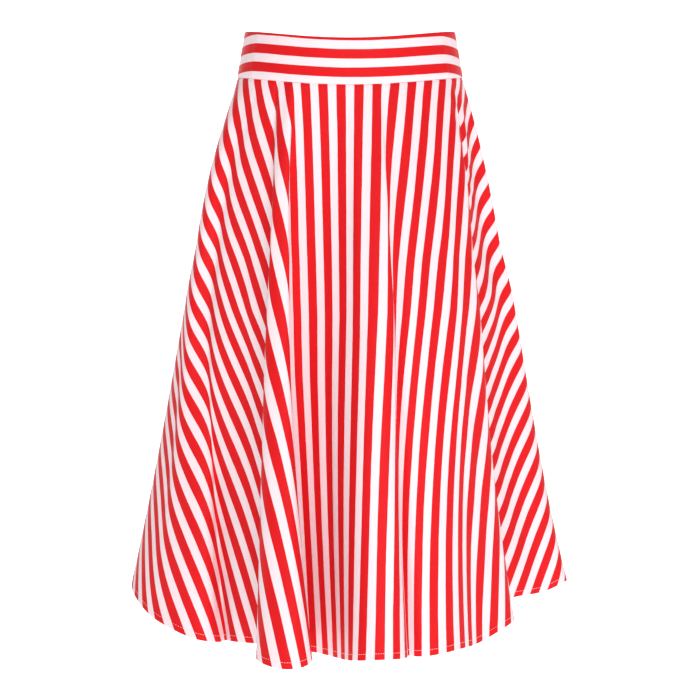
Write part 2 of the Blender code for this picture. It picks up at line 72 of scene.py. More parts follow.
# One row is one fold line down the skirt. The angles are where it lies on the flat cloth at the
# waist, at the mid level and at the hem. "across" and "forward" place it in plan, and at the hip,
# halfway from the waist to the mid level, they say how far it leaves the straight line. A "bow" is
# the same halfway from the mid level to the hem. "drop" is how much lower the hem hangs there.
FRONT_FOLD_COLUMNS = (
    "name", "top_angle", "mid_angle", "hem_angle", "angle_bow", "hip_across", "hip_forward",
    "mid_across", "mid_forward", "hem_across", "hem_forward", "across_bow", "drop",
)
FRONT_FOLDS = (
    ("right side seam", -45.0, -45.0, -45.0, 0.0, 2.5, 0, -184, -50, -256, -100, 0, 0),
    ("outer edge", -41.0, -40.5, -40.9, -0.5, 0, 0, -194, -15, -270, -36, 3, 6),
    ("side lobe back", -37.0, -37.8, -37.6, -0.5, -3, 2, -193, 8, -255, 12, 10, 14),
    ("side lobe", -34.0, -35.6, -34.8, -0.7, -3, 3, -183, 22, -226, 45, 3, 24),
    ("side lobe front", -31.0, -34.0, -30.8, 0.0, 0, 2, -169, 23, -162, 71, 3, 32),
    ("crease", -28.0, -33.0, -29.0, -0.7, 0, 0, -163, 34, -149, 52, -5, 33),
    ("recess", -24.0, -28.8, -27.5, -0.5, 1, 1, -136, 59, -140, 72, 2, 26),
    ("recess end", -22.0, -22.5, -25.5, -0.5, 0, 0, -95, 92, -115, 92, 7, 20),
    ("under the roll", -20.8, -20.5, -21.8, -0.5, 0, 0, -85, 104, -86, 140, 0, 9),
    ("roll side", -20.3, -18.7, -19.2, 0.0, 0, 0, -87, 122, -90, 185, 0, 7),
    ("roll edge", -19.6, -17.0, -16.8, 0.0, 0, 0, -92, 137, -100, 230, 0, 5),
    ("roll", -17.5, -15.8, -14.2, 0.0, 0, 0, -83, 145, -66, 263, -1, 12),
    ("roll turn", -16.0, -14.1, -11.74, 0.0, 0, 0, -69, 145, -41, 244, -3, 8),
    ("behind the roll", -15.5, -12.3, -9.4, 0.0, 0, 0, -73, 131, -51, 205, -3, 0),
    ("centre valley", -15.0, -11.03, -7.24, 0.0, 0, 0, -76, 120, -63, 173, -4, 0),
    ("centre valley end", -14.0, -9.55, -5.09, 0.0, 0, 0, -71, 117, -45, 160, -4, 3),
    ("centre flank low", -7.0, -4.92, -3.38, 0.0, 0, 0, -35, 128, -27, 178, -4, 2),
    ("centre flank", -1.5, -1.18, -0.69, 0.0, 0, 0, -7.6, 149, -7.2, 214, -3, 0),
    ("centre flank high", 1.2, 1.18, 2.03, 0.0, 0, 0, 7.7, 163, 12.6, 248, -1, -3),
    ("centre roll", 4.5, 3.58, 3.38, 0.0, 0, 0, 26, 173, 32, 256, -2, -4),
    ("pleat edge", 8.0, 6.2, 6.26, 0.0, 0, 0, 47, 170, 61, 232, -3, -2),
    ("pleat behind", 8.6, 8.37, 7.44, 0.0, 0, 0, 49, 161, 63, 219, -4, -2),
    ("wide roll", 12.0, 10.83, 8.81, 0.0, 0, 0, 63, 164, 74, 228, -4, -2),
    ("wide roll slope", 17.0, 15.7, 11.55, 0.0, 0, 0, 98, 151, 110, 214, -3, -1),
    ("wide roll flank", 21.0, 18.2, 12.9, 0.0, 0, 0, 118, 141, 124, 196, -4, 1),
    ("wide roll low", 27.0, 20.8, 15.8, 0.0, 0, 0, 134, 125, 146, 162, -4, 4),
    ("wide roll edge", 32.0, 22.0, 19.2, 0.0, 0, 0, 143, 115, 186, 123, -5, -4),
    ("under the wide roll", 33.5, 25.6, 23.5, 0.0, 0, 0, 133, 92, 152, 83, -5, 0),
    ("side valley", 34.5, 30.4, 30.2, 0.4, 0, -1, 111, 62, 110, 41, -6, 0),
    ("side valley end", 36.0, 33.7, 33.4, 0.9, 0, 1, 131, 42, 160, 10, -4, 6),
    ("left lobe", 37.5, 35.4, 36.5, 0.9, 0, 0, 144, 35, 204, 2, -5, 0),
    ("left lobe slope", 40.0, 39.5, 39.4, 0.2, -7, -2, 168, 10, 242, -20, -12, 6),
    ("left lobe edge", 42.4, 42.3, 41.4, 0.4, -4, 0, 182, -8, 266, -31, -4, 2),
    ("left lobe turn", 43.4, 43.9, 43.2, 0.2, -3, 1, 194, -14, 268, -56, -3, 6),
    ("left side seam", 45.0, 45.0, 45.0, 0.0, -1, -1, 186, -19, 260, -80, 1, 0),
)

# The back hangs in folds that turn in and out of a plain curve between the side seams. "rise" is
# how far a turn stands out from that curve, and "bulge" rounds the turns off sideways.
BACK_FOLD_COLUMNS = ("name", "angle", "mid_rise", "hem_rise")
BACK_FOLDS = (
    ("left edge", 46.5, -1, 4),
    ("left back valley", 55.5, -24, -50),
    ("left back roll", 66.0, 31, 62),
    ("left inner valley", 77.5, -22, -54),
    ("centre back roll", 90.0, 12, 48),
    ("right inner valley", 103.0, -24, -57),
    ("right back roll", 115.0, 33, 64),
    ("right back valley", 126.0, -24, -48),
    ("right edge", 137.0, 4, 8),
)
BACK_DEPTH = {"mid": 122.0, "hem": 150.0}
BACK_BULGE = {"mid": 6.0, "hem": 15.0}
BACK_FIRST_ANGLE = 49.0
BACK_LAST_ANGLE = 131.5
BACK_LINES = 26

# The steepest that the cloth may lean out of the upright, as a share of its length that falls.
LEAST_FALL = 0.2

ELLIPSE_POINTS = 1441


def ellipse(angles, half_width, half_depth):
    """Plan points (across, forward) of an ellipse at flat angles, spaced by length along it."""
    turn = np.linspace(0.0, math.tau, ELLIPSE_POINTS)
    outline = np.stack([half_width * np.sin(turn), half_depth * np.cos(turn)], axis=1)
    run = np.append(0.0, np.cumsum(np.hypot(*np.diff(outline, axis=0).T)))
    at = np.interp(np.mod(angles, FULL_TURN) / FULL_TURN * run[-1], run, turn)
    return np.stack([half_width * np.sin(at), half_depth * np.cos(at)], axis=1)


def back_fold_lines(level, left_seam, right_seam):
    """Plan points down the back at one level, from the left side seam round to the right."""
    angles = np.linspace(BACK_FIRST_ANGLE, BACK_LAST_ANGLE, BACK_LINES)
    turns = np.array([row[BACK_FOLD_COLUMNS.index("angle")] for row in BACK_FOLDS])
    rises = np.array([row[BACK_FOLD_COLUMNS.index(level + "_rise")] for row in BACK_FOLDS])
    before = np.searchsorted(turns, angles, side="right") - 1
    part = (angles - turns[before]) / (turns[before + 1] - turns[before])
    ease = (1.0 - np.cos(np.pi * part)) / 2.0
    rise = rises[before] * (1.0 - ease) + rises[before + 1] * ease
    bulge = BACK_BULGE[level] * np.sin(2.0 * np.pi * part)

    way = (angles - SEAM_ANGLE) / (FULL_TURN - 2.0 * SEAM_ANGLE) * np.pi
    share = (1.0 - np.cos(way)) / 2.0
    across = left_seam[0] * (1.0 - share) + right_seam[0] * share
    forward = left_seam[1] * (1.0 - share) + right_seam[1] * share - BACK_DEPTH[level] * np.sin(way)
    across = across + rise * np.cos(way) - bulge * np.sin(way)
    forward = forward - rise * np.sin(way) - bulge * np.cos(way)
    return angles, np.stack([across, forward], axis=1)


def fold_lines():
    """Every fold line round the skirt: angles and plan points at three levels, bows and drop."""
    column = {name: np.array([row[i] for row in FRONT_FOLDS])
              for i, name in enumerate(FRONT_FOLD_COLUMNS)}
    top = column["top_angle"]
    mid = np.stack([column["mid_across"], column["mid_forward"]], axis=1)
    hem = np.stack([column["hem_across"], column["hem_forward"]], axis=1)
    back_angles, back_mid = back_fold_lines("mid", mid[-1], mid[0])
    back_hem = back_fold_lines("hem", hem[-1], hem[0])[1]
    angles = np.stack([
        np.append(column[level + "_angle"], back_angles) for level in ("top", "mid", "hem")
    ])
    waist = ellipse(np.append(top, back_angles), WAIST_HALF_WIDTH, WAIST_HALF_DEPTH)
    plan = (waist, np.vstack([mid, back_mid]), np.vstack([hem, back_hem]))
    straight = np.zeros(len(back_angles))
    bows = {
        name: np.append(column[name], straight)
        for name in ("angle_bow", "across_bow", "hip_across", "hip_forward", "drop")
    }
    return angles, plan, bows


def closed_curve(knots, values, angles):
    """Values of a smooth closed curve through the knots (a periodic cubic spline)."""
    count = len(knots)
    gaps = np.diff(np.append(knots, knots[0] + FULL_TURN))
    slopes = (np.roll(values, -1, axis=0) - values) / gaps[:, None]
    matrix = np.zeros((count, count))
    for i in range(count):
        matrix[i, i - 1] += gaps[i - 1]
        matrix[i, i] += 2.0 * (gaps[i - 1] + gaps[i])
        matrix[i, (i + 1) % count] += gaps[i]
    bends = np.linalg.solve(matrix, 6.0 * (slopes - np.roll(slopes, 1, axis=0)))

    turned = np.mod(angles - knots[0], FULL_TURN) + knots[0]
    left = np.clip(np.searchsorted(knots, turned, side="right") - 1, 0, count - 1)
    right = (left + 1) % count
    gap = gaps[left][:, None]
    b = (turned - knots[left])[:, None] / gap
    a = 1.0 - b
    curve = a * values[left] + b * values[right]
    return curve + gap ** 2 / 6.0 * ((a ** 3 - a) * bends[left] + (b ** 3 - b) * bends[right])


def seam_height(angles):
    """Height of the waist seam at each flat angle."""
    facing = np.cos(np.radians(2.0 * angles))
    dip = np.where(facing > 0.0, SEAM_FRONT_DIP, SEAM_BACK_DIP)
    return SEAM_TOP - dip * facing ** 2


def level_mix(share):
    """How much of the waist, the mid level and the hem make up a ring this far down.

    Fold lines run straight from level to level, with the corner at the mid level rounded off.
    """
    past = np.clip((share - MID_SHARE + MID_ROUNDING) / (2.0 * MID_ROUNDING), 0.0, 1.0)
    past = MID_ROUNDING * past ** 2 + max(share - MID_SHARE - MID_ROUNDING, 0.0)
    before = (share - past) / MID_SHARE
    after = past / (1.0 - MID_SHARE)
    return 1.0 - before, before - after, after


def ring_lines(share, lines):
    """Flat angles and plan points of all fold lines this far down the skirt."""
    line_angles, levels, bows = lines
    mix = level_mix(share)
    bow = math.sin(math.pi * max(share - MID_SHARE, 0.0) / (1.0 - MID_SHARE))
    knots = sum(part * row for part, row in zip(mix, line_angles)) + bow * bows["angle_bow"]
    places = sum(part * level for part, level in zip(mix, levels))
    bulge = HIP_BULGE * math.sin(math.pi * min(share / HIP_SHARE, 1.0)) / WAIST_HALF_WIDTH
    hip = math.sin(math.pi * min(share / MID_SHARE, 1.0))
    across = places[:, 0] + bow * bows["across_bow"] + hip * bows["hip_across"]
    forward = places[:, 1] + hip * bows["hip_forward"]
    return knots, np.stack([across + bulge * levels[0][:, 0], forward], axis=1)


def skirt_points(shares, angles):
    """The middle of the cloth: a row per share of its length down, a column per flat angle."""
    lines = fold_lines()
    plan = []
    for share in shares:
        knots, places = ring_lines(share, lines)
        plan.append(closed_curve(knots, places, angles))
    plan = np.array(plan)
    step = np.diff(shares)[:, None] * CLOTH_LENGTH
    slant = np.hypot(*np.moveaxis(np.diff(plan, axis=0), 2, 0))
    fall = np.sqrt(np.maximum(step ** 2 - slant ** 2, (LEAST_FALL * step) ** 2))
    height = seam_height(angles) - np.vstack([np.zeros(len(angles)), np.cumsum(fall, axis=0)])
    sag = closed_curve(lines[0][2], lines[2]["drop"][:, None], angles)[:, 0]
    height = height - sag * np.asarray(shares)[:, None] ** 2
    return np.dstack([plan[..., 0], -plan[..., 1], height])


# Where the cloth is crumpled a little between its folds. Each row is one crease, from one place on
# the flat cloth to another, as a share of the length down and a flat angle. "height" is outwards.
CREASE_COLUMNS = (
    "name", "from_share", "from_angle", "to_share", "to_angle", "half_width", "height",
)
CREASES = (
    ("right hip pucker", 0.00, -27.5, 0.17, -30.0, 8.0, -0.8),
    ("right hip ridge", 0.01, -24.0, 0.24, -26.0, 9.0, 0.7),
    ("right short pucker", 0.00, -21.0, 0.10, -21.8, 5.0, -1.3),
    ("right dart", 0.00, -18.6, 0.30, -18.2, 8.0, -1.3),
    ("right dart ridge", 0.01, -16.8, 0.20, -16.6, 7.0, 1.3),
    ("right middle pucker", 0.00, -11.5, 0.12, -11.0, 6.0, -0.9),
    ("centre pucker", 0.00, -3.6, 0.16, -3.2, 7.0, -1.0),
    ("centre soft ridge", 0.05, 1.8, 0.42, 1.4, 11.0, 1.2),
    ("left middle pucker", 0.00, 6.2, 0.13, 5.6, 6.0, -1.0),
    ("pleat crease", 0.10, 8.3, 0.60, 7.2, 6.0, -1.6),
    ("left soft ridge", 0.00, 14.2, 0.26, 13.1, 10.0, 1.2),
    ("left short pucker", 0.00, 20.5, 0.11, 19.6, 5.0, -1.0),
    ("left hip pucker", 0.00, 31.0, 0.20, 28.6, 6.0, -1.2),
    ("left side facet", 0.00, 34.6, 0.09, 33.9, 5.0, 1.8),
    ("left second facet", 0.07, 36.6, 0.20, 35.4, 5.5, 2.2),
    ("left third facet", 0.17, 34.4, 0.31, 33.2, 6.0, 2.0),
    ("left facet valley", 0.04, 38.8, 0.26, 37.4, 7.0, -1.8),
    ("left lobe crease", 0.30, 36.6, 0.66, 37.0, 7.0, -1.4),
    ("right lobe ripple", 0.44, -39.8, 0.86, -37.0, 10.0, -0.9),
    ("right lobe ridge", 0.50, -36.2, 0.94, -33.2, 12.0, 1.0),
    ("right recess ripple", 0.30, -24.8, 0.74, -25.6, 12.0, 1.5),
    ("roll ripple", 0.52, -15.2, 0.95, -14.6, 12.0, -1.5),
    ("centre flank ripple", 0.45, -3.4, 0.96, -2.2, 11.0, -1.5),
    ("centre roll ripple", 0.50, 4.6, 0.90, 4.9, 13.0, 1.4),
    ("wide roll ripple", 0.40, 12.4, 0.93, 10.6, 13.0, -1.6),
    ("wide roll low ripple", 0.55, 18.6, 0.97, 17.2, 12.0, 1.5),
    ("left lobe ripple", 0.36, 37.8, 0.88, 38.4, 13.0, -1.0),
    ("left back pucker", 0.00, 52.0, 0.14, 53.2, 6.0, -1.4),
    ("left back ridge", 0.01, 60.0, 0.26, 61.5, 9.0, 1.4),
    ("left back short pucker", 0.00, 70.5, 0.12, 70.0, 6.0, -1.2),
    ("left back soft ridge", 0.02, 80.0, 0.22, 79.2, 8.0, 1.2),
    ("left back ripple", 0.42, 62.0, 0.90, 61.0, 13.0, 1.7),
    ("left back low ripple", 0.55, 76.0, 0.96, 77.0, 12.0, -1.6),
    ("left back edge ripple", 0.36, 50.5, 0.84, 51.2, 13.0, -1.6),
    ("right back soft ridge", 0.02, 99.0, 0.24, 98.0, 8.0, 1.3),
    ("right back short pucker", 0.00, 108.5, 0.13, 109.4, 6.0, -1.3),
    ("right back ridge", 0.01, 119.0, 0.28, 118.0, 9.0, 1.4),
    ("right back pucker", 0.00, 128.0, 0.15, 126.6, 6.0, -1.5),
    ("right back ripple", 0.40, 110.0, 0.92, 111.5, 13.0, -1.7),
    ("right back low ripple", 0.52, 122.0, 0.94, 121.0, 12.0, 1.6),
    ("right back edge ripple", 0.34, 130.5, 0.82, 129.6, 13.0, 1.5),
)

# A crease fades out towards both ends, to the sine of this part of a half turn.
CREASE_END = 0.12

# The hem is two layers of cloth. Its extra thickness lies almost all inside, past a short step.
CLOTH_THICK = 0.7
SEAM_GAP = 0.3
HEM_DEPTH = 8.0
HEM_EXTRA_INSIDE = 0.5
HEM_EXTRA_OUTSIDE = 0.1
HEM_STEP = 0.9
HEM_EDGE_THIN = 0.3
TUCK_DEPTH = 0.7
TUCK_WIDTH = 1.8

# How finely the cloth is divided. The rows near the waist seam and the hem are given by their
# distance from it.
FINE_STEP = 0.1
FINE_ROWS = 126
ROW_STEP = 5.0
SEAM_ROWS = (SEAM_GAP / 2.0, 1.0, 2.0, 3.2)
HEM_ROWS = (8.6, 7.6, 5.5, 3.0, 1.2, 0.4, 0.0)
COLUMNS_PER_FOLD = 10
BACK_COLUMNS = 150
SHARP_EDGE = 50.0


def outward(points):
    """Unit vectors out of a grid of cloth whose columns go all the way round."""
    around = np.roll(points, -1, axis=1) - np.roll(points, 1, axis=1)
    out = np.cross(np.gradient(points, axis=0), around)
    return out / np.linalg.norm(out, axis=2, keepdims=True)


def sampled(grid, shares, angles):
    """Values of a fine grid at shares of its length down and at flat angles."""
    row = np.clip(np.asarray(shares) * (len(grid) - 1), 0.0, len(grid) - 1.000001)
    above = row.astype(int)
    down = (row - above)[..., None]
    column = (np.asarray(angles) + SEAM_ANGLE) / FINE_STEP
    left = np.floor(column).astype(int)
    across = (column - left)[..., None]
    left = left % grid.shape[1]
    right = (left + 1) % grid.shape[1]
    upper = grid[above, left] * (1.0 - across) + grid[above, right] * across
    lower = grid[above + 1, left] * (1.0 - across) + grid[above + 1, right] * across
    return upper * (1.0 - down) + lower * down


def flat_place(shares, angles):
    """Where a place on the skirt lies on the flat half circle, with the centre front upright."""
    radius = FLAT_WAIST_RADIUS + np.asarray(shares) * CLOTH_LENGTH
    turn = np.radians(angles)
    return np.stack([radius * np.sin(turn), radius * np.cos(turn)], axis=-1)


def crease_height(shares, angles):
    """How far the creases move the cloth outwards at each place."""
    places = flat_place(shares, angles)
    height = np.zeros(places.shape[:-1])
    for row in CREASES:
        crease = dict(zip(CREASE_COLUMNS, row))
        start = flat_place(crease["from_share"], crease["from_angle"])
        along = flat_place(crease["to_share"], crease["to_angle"]) - start
        part = np.clip((places - start) @ along / (along @ along), 0.0, 1.0)
        gap = np.linalg.norm(places - start - part[..., None] * along, axis=-1)
        across = np.maximum(1.0 - (gap / crease["half_width"]) ** 2, 0.0) ** 2
        fade = np.sin(np.pi * (CREASE_END + (1.0 - 2.0 * CREASE_END) * part))
        height += crease["height"] * across * fade
    return height


def seam_tuck(gap):
    """How far a seam draws the cloth in, at this distance from it."""
    return TUCK_DEPTH * np.exp(-((gap / TUCK_WIDTH) ** 2))


fine_angles = FINE_STEP * np.arange(round(FULL_TURN / FINE_STEP)) - SEAM_ANGLE
fine_cloth = skirt_points(np.linspace(0.0, 1.0, FINE_ROWS), fine_angles)
fine_out = outward(fine_cloth)


def cloth_at(shares, angles):
    """Middle points of the creased cloth and the directions out of it."""
    out = sampled(fine_out, shares, angles)
    out = out / np.linalg.norm(out, axis=-1, keepdims=True)
    return sampled(fine_cloth, shares, angles) + out * crease_height(shares, angles)[..., None], out


def shell(name, outer, inner, flat):
    """A thin closed shell from its outer and inner points, which keeps the cloth's flat places."""
    rows, columns = outer.shape[:2]
    number = np.arange(rows * columns).reshape(rows, columns)
    quads = np.stack([number[:-1, :-1], number[1:, :-1], number[1:, 1:], number[:-1, 1:]], axis=-1)
    quads = quads.reshape(-1, 4)
    rim = np.concatenate([
        number[:, 0], number[-1, 1:], number[-2::-1, -1], number[0, -2:0:-1],
    ])
    ahead = np.roll(rim, -1)
    inside = rows * columns
    faces = np.concatenate([
        quads,
        quads[:, ::-1] + inside,
        np.stack([ahead, rim, rim + inside, ahead + inside], axis=-1),
    ])
    mesh = bpy.data.meshes.new(name)
    points = np.concatenate([outer.reshape(-1, 3), inner.reshape(-1, 3)]) * MM
    mesh.from_pydata(points.tolist(), [], faces.tolist())
    stored = mesh.attributes.new("flat_cut", "FLOAT_VECTOR", "POINT")
    places = np.concatenate([flat.reshape(-1, 2), flat.reshape(-1, 2)]) * MM
    places = np.column_stack([places, np.zeros(len(places))])
    stored.data.foreach_set("vector", places.astype(np.float32).ravel())
    mesh.shade_smooth()
    mesh.set_sharp_from_angle(angle=math.radians(SHARP_EDGE))
    made = bpy.data.objects.new(name, mesh)
    bpy.context.scene.collection.objects.link(made)
    return made


def panel_shares():
    """Shares of the length for the rows of a panel, closer at the waist seam and at the hem."""
    middle = np.arange(ROW_STEP, CLOTH_LENGTH - 2.0 * ROW_STEP, ROW_STEP)
    hem = CLOTH_LENGTH - np.array(HEM_ROWS)
    return np.concatenate([SEAM_ROWS, middle, hem]) / CLOTH_LENGTH


def front_angles(share):
    """Flat angles of the front's columns, which follow its fold lines."""
    count = len(FRONT_FOLDS)
    knots = ring_lines(share, fold_lines())[0][:count]
    steps = np.arange((count - 1) * COLUMNS_PER_FOLD + 1) / COLUMNS_PER_FOLD
    return np.interp(steps, np.arange(count), knots)


def even_angles(first, last):
    """Flat angles of evenly spaced columns, the same in every row."""
    angles = np.linspace(first, last, BACK_COLUMNS + 1)
    return lambda share: angles


def skirt_panel(name, first, last, grain_angle, angles_at):
    """One sewn panel of the skirt, between its two seams."""
    shares = panel_shares()
    angles = np.array([angles_at(share) for share in shares])
    radius = (FLAT_WAIST_RADIUS + shares * CLOTH_LENGTH)[:, None]
    inset = np.degrees(SEAM_GAP / 2.0 / radius)
    angles = np.clip(angles, first + inset, last - inset)
    shares = np.repeat(shares[:, None], angles.shape[1], axis=1)
    middle, out = cloth_at(shares, angles)
    to_side = np.radians(np.minimum(angles - first, last - angles)) * radius
    tuck = seam_tuck(to_side) + seam_tuck(shares * CLOTH_LENGTH)
    middle = middle - out * np.minimum(tuck, TUCK_DEPTH)[..., None]
    to_hem = (1.0 - shares) * CLOTH_LENGTH
    rounding = np.sqrt(np.clip(to_hem / (CLOTH_THICK / 2.0), HEM_EDGE_THIN, 1.0))
    turned = np.clip((HEM_DEPTH + HEM_STEP / 3.0 - to_hem) / HEM_STEP, 0.0, 1.0) * rounding
    half = CLOTH_THICK / 2.0 * rounding
    outer = middle + out * (half + HEM_EXTRA_OUTSIDE * turned)[..., None]
    inner = middle - out * (half + HEM_EXTRA_INSIDE * turned)[..., None]
    return shell(name, outer, inner, flat_place(shares, angles - grain_angle))


class Thread:
    """One socket of a material's nodes. Arithmetic on it adds Math nodes."""

    def __init__(self, tree, socket=None):
        self.tree = tree
        self.socket = socket

    def node(self, kind, settings=None, sockets=None, output=0):
        """Adds any other node: its settings first, then the values or links of its sockets."""
        made = self.tree.nodes.new(kind)
        for name, value in (settings or {}).items():
            if name == "stops":
                for stop, (place, colour) in zip(made.color_ramp.elements, value):
                    stop.position, stop.color = place, (*colour, 1.0)
            else:
                setattr(made, name, value)
        for name, value in (sockets or {}).items():
            if isinstance(value, Thread):
                self.tree.links.new(value.socket, made.inputs[name])
            else:
                made.inputs[name].default_value = value
        return Thread(self.tree, made.outputs[output])

    def math(self, operation, first, second=0.0):
        """A Math node on two values or sockets."""
        return self.node("ShaderNodeMath", {"operation": operation}, {0: first, 1: second})

    def __add__(self, other):
        return self.math("ADD", self, other)

    def __radd__(self, other):
        return self.math("ADD", other, self)

    def __sub__(self, other):
        return self.math("SUBTRACT", self, other)

    def __rsub__(self, other):
        return self.math("SUBTRACT", other, self)

    def __mul__(self, other):
        return self.math("MULTIPLY", self, other)

    def __rmul__(self, other):
        return self.math("MULTIPLY", other, self)

    def __truediv__(self, other):
        return self.math("DIVIDE", self, other)

    def __rtruediv__(self, other):
        return self.math("DIVIDE", other, self)

    def __abs__(self):
        return self.math("ABSOLUTE", self)

    def fraction(self):
        """What is left over a whole number."""
        return self.math("FRACT", self)

    def wave(self):
        """The sine."""
        return self.math("SINE", self)

    def step(self, low, high, kind="SMOOTHSTEP"):
        """0 at low, 1 at high and a soft step between them."""
        return self.node(
            "ShaderNodeMapRange", {"interpolation_type": kind},
            {"Value": self, "From Min": low, "From Max": high},
        )

    def mixed(self, first, second):
        """One colour where this is 0 and another where it is 1."""
        sockets = {0: self, 6: first, 7: second}
        return self.node("ShaderNodeMix", {"data_type": "RGBA"}, sockets, output=2)


def new_finish(name, **constants):
    """A material with one Principled shader, and the start of its node threads."""
    made = bpy.data.materials.new(name)
    made.use_nodes = True
    shader = made.node_tree.nodes["Principled BSDF"]
    for socket, value in constants.items():
        shader.inputs[socket.replace("_", " ")].default_value = value
    return made, shader, Thread(made.node_tree)


def wire(shader, **threads):
    """Links node threads to the shader's sockets."""
    for socket, thread in threads.items():
        thread.tree.links.new(thread.socket, shader.inputs[socket.replace("_", " ")])


# The stripes: a white and a red one together and the soft line between them, in metres, and the
# red one's share of the pair.
STRIPE_PAIR = 0.020
STRIPE_EDGE = 0.00022
RED_SHARE = 0.53

# Both yarns vary a little, between the low share of the colour and all of it.
# The white yarn is tinted pink: partly its own colour, partly painted pink bounce light from the red
# stripes, put on all the white alike.
WHITE = (0.92, 0.75, 0.785)
RED = (0.73, 0.0105, 0.0145)
WHITE_LOW = 0.955
RED_LOW = 0.9
# The weave's hollows are darker by this share: painted shade, on top of the bump.
YARN_SHADE = 0.955


def striped_cotton():
    """Yarn-dyed sateen: a stripe pair of 20 mm, slightly uneven edges and a fine slanting weave."""
    made, shader, start = new_finish(
        "striped_cotton", Sheen_Weight=0.02, Sheen_Roughness=0.4, Specular_IOR_Level=0.1,
    )
    flat = start.node("ShaderNodeAttribute", {"attribute_name": "flat_cut"}, output=1)
    across = start.node("ShaderNodeSeparateXYZ", {}, {0: flat})
    along = start.node("ShaderNodeSeparateXYZ", {}, {0: flat}, output=1)

    def cloudy(scale, detail, stretch=(1.0, 1.0, 1.0)):
        placed = start.node(
            "ShaderNodeVectorMath", {"operation": "MULTIPLY"}, {0: flat, 1: stretch},
        )
        sockets = {"Vector": placed, "Scale": scale, "Detail": detail}
        return start.node("ShaderNodeTexNoise", {"noise_dimensions": "3D"}, sockets)

    wander = (cloudy(90.0, 2.0, (1.0, 0.35, 1.0)) - 0.5) * 0.0007
    ragged = (cloudy(2600.0, 1.0, (0.3, 1.0, 1.0)) - 0.5) * 0.0003
    place = (across + wander + ragged) / STRIPE_PAIR
    from_middle = abs(place.fraction() - 0.5)
    edge = STRIPE_EDGE / STRIPE_PAIR
    white_mask = from_middle.step(RED_SHARE / 2.0 - edge, RED_SHARE / 2.0 + edge)

    slub = cloudy(700.0, 2.0, (1.0, 0.03, 1.0))
    cross_slub = cloudy(600.0, 2.0, (0.03, 1.0, 1.0))
    tone = slub * 0.5 + cross_slub * 0.3 + cloudy(14.0, 2.0) * 0.6
    tone = tone.step(0.35, 1.05, "LINEAR")
    white = tone.mixed((*[WHITE_LOW * part for part in WHITE], 1.0), (*WHITE, 1.0))
    red = tone.mixed((*[RED_LOW * part for part in RED], 1.0), (*RED, 1.0))
    warp = (across * (math.tau / 0.00042)).wave()
    weft = (along * (math.tau / 0.00052) + across * (math.tau / 0.0017)).wave()
    yarn = warp * 0.6 + weft * 0.4
    cotton = white_mask.mixed(red, white)
    # The colour is darkened in the weave's hollows, where the yarns dip: painted shade.
    shade = yarn.step(-1.0, 1.0, "LINEAR").mixed((*[YARN_SHADE] * 3, 1.0), (1.0, 1.0, 1.0, 1.0))
    woven = start.node(
        "ShaderNodeMix", {"data_type": "RGBA", "blend_type": "MULTIPLY"},
        {0: 1.0, 6: cotton, 7: shade}, output=2,
    )
    fine = start.node("ShaderNodeBump", {}, {"Strength": 0.35, "Distance": 0.00005, "Height": yarn})
    soft = cloudy(38.0, 3.0, (1.0, 0.55, 1.0)) + slub * 0.12
    bumps = start.node(
        "ShaderNodeBump", {}, {"Strength": 0.5, "Distance": 0.0009, "Height": soft, "Normal": fine},
    )
    wire(shader, Base_Color=woven, Roughness=cloudy(120.0, 2.0) * 0.14 + 0.5, Normal=bumps)
    return made


cotton = striped_cotton()
half_turn = FULL_TURN / 2.0

skirt_panels = {
    "skirt_front": skirt_panel("cloth_skirt_front", -SEAM_ANGLE, SEAM_ANGLE, 0.0, front_angles),
    "skirt_back_left": skirt_panel(
        "cloth_skirt_back_left", SEAM_ANGLE, half_turn, half_turn, even_angles(SEAM_ANGLE, half_turn),
    ),
    "skirt_back_right": skirt_panel(
        "cloth_skirt_back_right", half_turn, FULL_TURN - SEAM_ANGLE, half_turn,
        even_angles(half_turn, FULL_TURN - SEAM_ANGLE),
    ),
}
for node, panel in skirt_panels.items():
    panel.data.materials.append(cotton)
    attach(panel, "skirt")
    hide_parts(node)


# ---- Hem stitching ----
# The hem is turned up 8 mm and held by one line of white lockstitch near its inner edge. The
# stitches show on both faces of the cloth.

HEM_STITCH_LENGTH = 2.0
HEM_STITCH_RADIUS = 0.2
HEM_STITCH_PITCH = 2.7
HEM_STITCH_FROM_EDGE = 6.6
THREAD_SIDES = 6

# Where a stitch's rings lie along its length, and how thick it is there.
STITCH_RINGS = ((-0.5, 0.35), (-0.32, 1.0), (0.32, 1.0), (0.5, 0.35))


def stitches(name, length, radius, centres, ways, outs):
    """A row of stitches: short rounded lengths of thread, each along its way and half sunk."""
    turn = (np.arange(THREAD_SIDES) / THREAD_SIDES * math.tau)[:, None]
    side = np.cross(ways, outs)
    rings = []
    for along, width in STITCH_RINGS:
        ring = side[:, None] * np.cos(turn) + outs[:, None] * np.sin(turn)
        rings.append((centres + ways * along * length)[:, None] + ring * radius * width)
    points = np.stack(rings, axis=1).reshape(-1, 3)
    one = []
    for low in range(0, (len(STITCH_RINGS) - 1) * THREAD_SIDES, THREAD_SIDES):
        high = low + THREAD_SIDES
        for i in range(THREAD_SIDES):
            j = (i + 1) % THREAD_SIDES
            one.append((low + i, low + j, high + j, high + i))
    each = len(STITCH_RINGS) * THREAD_SIDES
    caps = [tuple(range(THREAD_SIDES - 1, -1, -1)), tuple(range(each - THREAD_SIDES, each))]
    faces = [tuple(i + k * each for i in face) for k in range(len(centres)) for face in one + caps]
    mesh = bpy.data.meshes.new(name)
    mesh.from_pydata((points * MM).tolist(), [], faces)
    mesh.shade_smooth()
    made = bpy.data.objects.new(name, mesh)
    bpy.context.scene.collection.objects.link(made)
    return made


